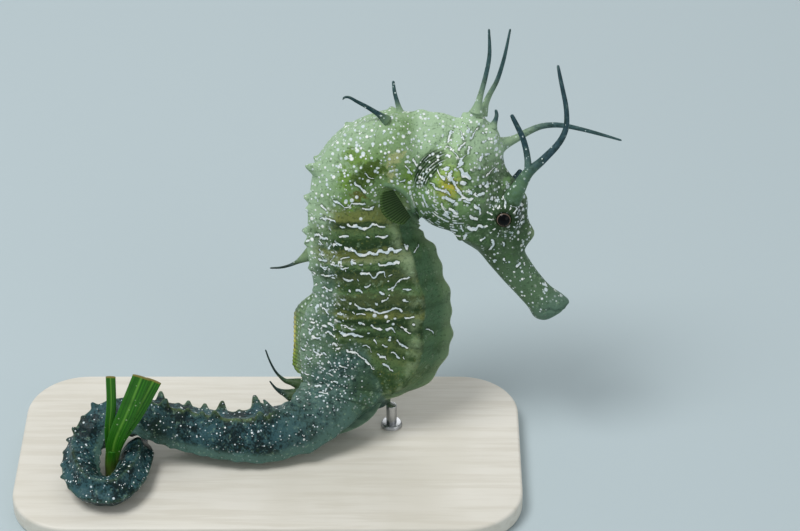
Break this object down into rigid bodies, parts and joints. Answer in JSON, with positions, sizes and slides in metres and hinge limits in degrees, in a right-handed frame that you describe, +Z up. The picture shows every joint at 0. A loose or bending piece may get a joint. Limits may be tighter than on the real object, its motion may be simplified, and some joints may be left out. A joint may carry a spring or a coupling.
{
  "type": "seahorse model",
  "caption": "Life-size still model of a long-snouted seahorse with skin feelers, upright body and coiled tail round cut seagrass, on a plain display stand.",
  "frame": {"origin": "middle of the flat underside of stand_base", "axes": "+X forward, the way the snout points; +Z up; +Y towards the animal's left side"},
  "size_m": [0.0908, 0.0414, 0.0647],
  "materials": {
    "head_skin": "satin olive-green skin with white dots and fine branching lines",
    "trunk_skin": "satin olive to yellow-brown skin with wavy white lines, dark green keel",
    "tail_skin": "satin dark slate-green skin with white dots",
    "eye": "glossy black with a thin pale rim",
    "feeler": "satin dark blue-grey with tiny white dots",
    "fin": "thin rayed membrane, green",
    "seagrass": "bright green ribbed leaf",
    "stand_base": "satin cream-painted wood",
    "stand_rod": "brushed steel rod"
  },
  "bodies": {
    "root": {"snout": "head_skin", "head": "head_skin", "neck": "head_skin", "trunk_upper": "trunk_skin", "trunk_lower": "trunk_skin", "tail_1": "tail_skin", "tail_2": "tail_skin", "tail_3": "tail_skin", "tail_4": "tail_skin", "tail_5": "tail_skin", "eye_right": "eye", "eye_left": "eye", "feeler_coronet_right": "feeler", "feeler_coronet_left": "feeler", "feeler_crown": "feeler", "feeler_forehead": "feeler", "feeler_brow": "feeler", "feeler_brow_branch": "feeler", "feeler_nape_rear": "feeler", "feeler_nape_front": "feeler", "feeler_back": "feeler", "feeler_tail_upper": "feeler", "feeler_tail_lower": "feeler", "pectoral_fin_right": "fin", "pectoral_fin_left": "fin", "dorsal_fin": "fin", "anal_fin": "fin", "perch_seagrass": "seagrass", "stand_base": "stand_base", "stand_rod": "stand_rod"}
  },
  "joints": []
}
